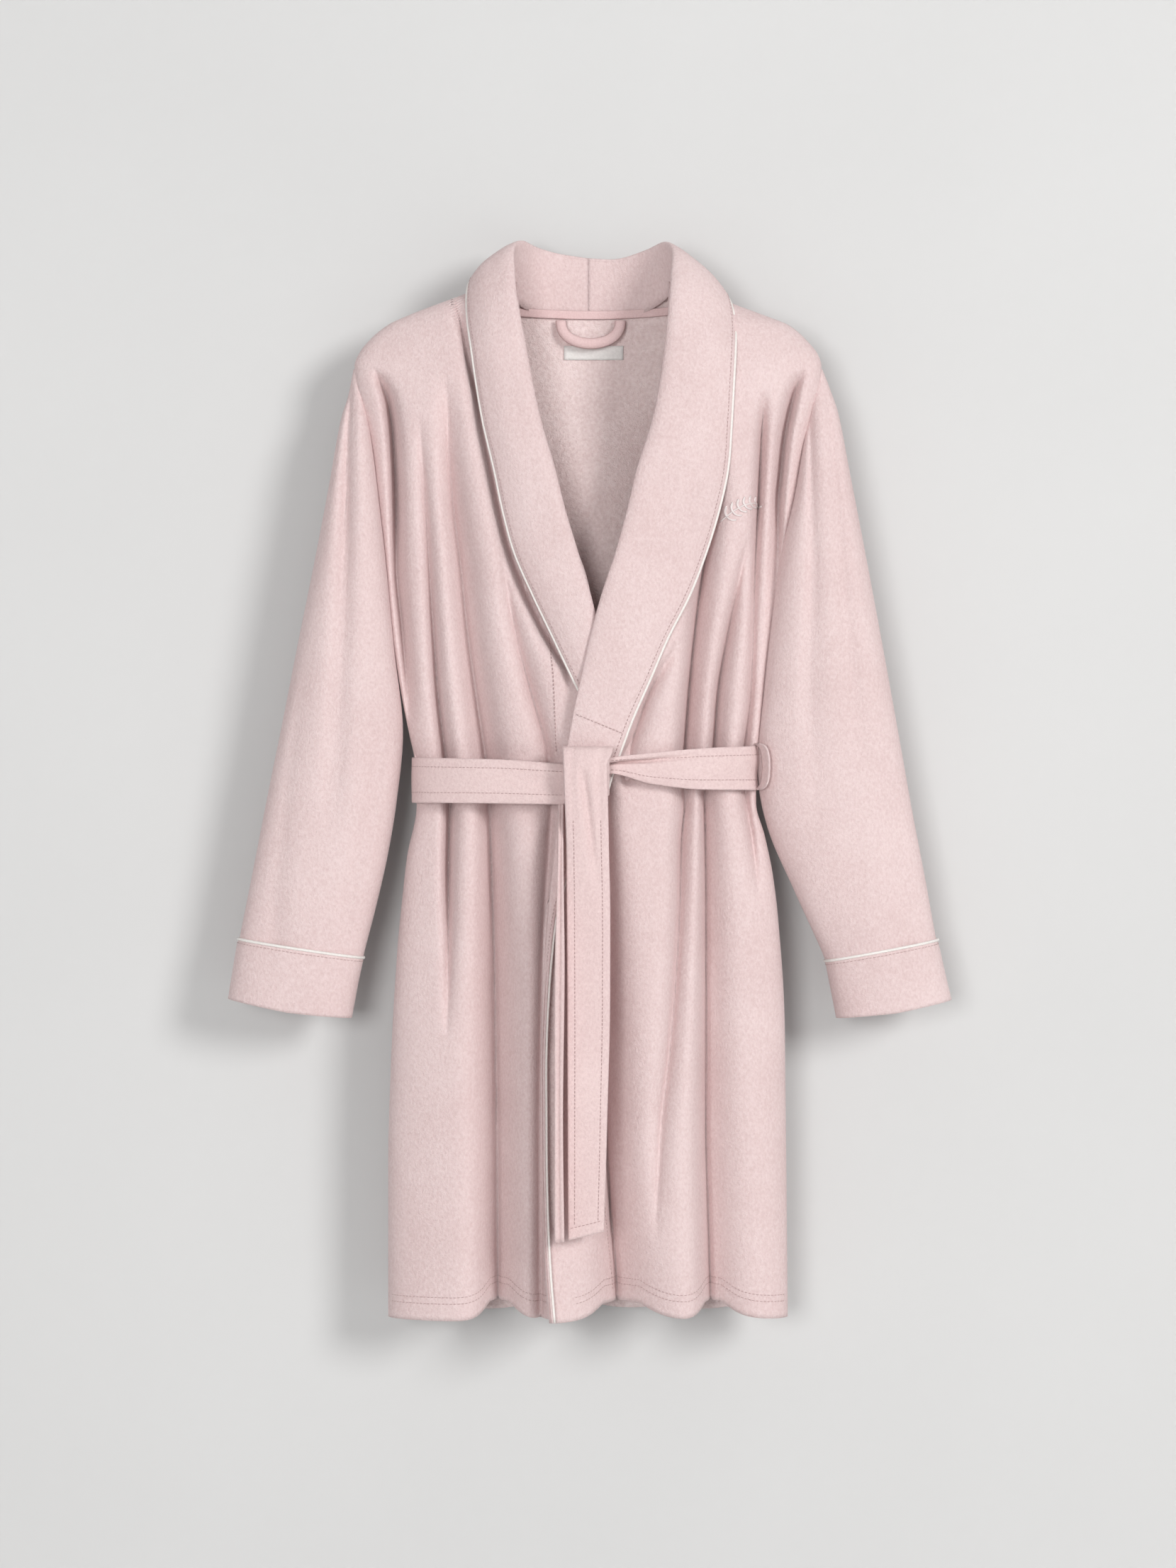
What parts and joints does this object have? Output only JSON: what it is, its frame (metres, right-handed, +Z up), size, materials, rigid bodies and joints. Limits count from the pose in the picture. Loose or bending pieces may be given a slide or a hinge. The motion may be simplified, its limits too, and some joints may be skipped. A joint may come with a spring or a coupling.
{
  "type": "bathrobe",
  "caption": "Velour bathrobe with a piped shawl collar, turned-back cuffs and a tied waist belt, hanging closed from its back neck.",
  "frame": {"origin": "middle of the back neck seam, inside the collar, where a hanger or hook carries the robe", "axes": "+Z up, -Y towards the wearer's front, +X towards the wearer's left"},
  "size_m": [0.6934, 0.162, 1.013],
  "materials": {
    "velour": "matte",
    "velour_reverse": "matte",
    "belt_velour": "matte",
    "piping_satin": "satin",
    "label_weave": "matte",
    "loop_tape": "matte",
    "thread": "satin"
  },
  "bodies": {
    "robe_body": {"back_panel": "velour", "right_front_panel": "velour", "left_front_panel": "velour", "right_front_facing": "velour_reverse", "left_front_facing": "velour_reverse", "collar_right": "velour", "collar_left": "velour", "collar_piping_right": "piping_satin", "collar_piping_left": "piping_satin", "neck_tape": "loop_tape", "woven_label": "label_weave", "chest_embroidery": "thread", "belt_band": "belt_velour", "belt_knot": "belt_velour", "belt_carrier_right": "velour", "belt_carrier_left": "velour"},
    "right_sleeve_body": {"right_sleeve": "velour", "right_cuff": "velour", "right_cuff_piping": "piping_satin"},
    "left_sleeve_body": {"left_sleeve": "velour", "left_cuff": "velour", "left_cuff_piping": "piping_satin"},
    "loop_body": {"hanging_loop": "loop_tape"},
    "tail_front_body": {"belt_tail_front": "belt_velour"},
    "tail_rear_body": {"belt_tail_rear": "belt_velour"}
  },
  "joints": [
    {"name": "right_sleeve_swing", "type": "hinge", "parent": "robe_body", "child": "right_sleeve_body", "pos_m": [-0.2225, -0.04, -0.049], "axis": [0, 1, 0], "range_deg": [0, 70]},
    {"name": "left_sleeve_swing", "type": "hinge", "parent": "robe_body", "child": "left_sleeve_body", "pos_m": [0.2225, -0.04, -0.049], "axis": [0, -1, 0], "range_deg": [0, 70]},
    {"name": "loop_swing", "type": "hinge", "parent": "robe_body", "child": "loop_body", "pos_m": [0.002, -0.00725, -0.0056], "axis": [-1, 0, 0], "range_deg": [0, 120]},
    {"name": "front_tail_swing", "type": "hinge", "parent": "robe_body", "child": "tail_front_body", "pos_m": [0.0005, -0.12025, -0.473], "axis": [-1, 0, 0], "range_deg": [0, 75]},
    {"name": "rear_tail_swing", "type": "hinge", "parent": "robe_body", "child": "tail_rear_body", "pos_m": [-0.0265, -0.127, -0.473], "axis": [-1, 0, 0], "range_deg": [0, 75]}
  ]
}
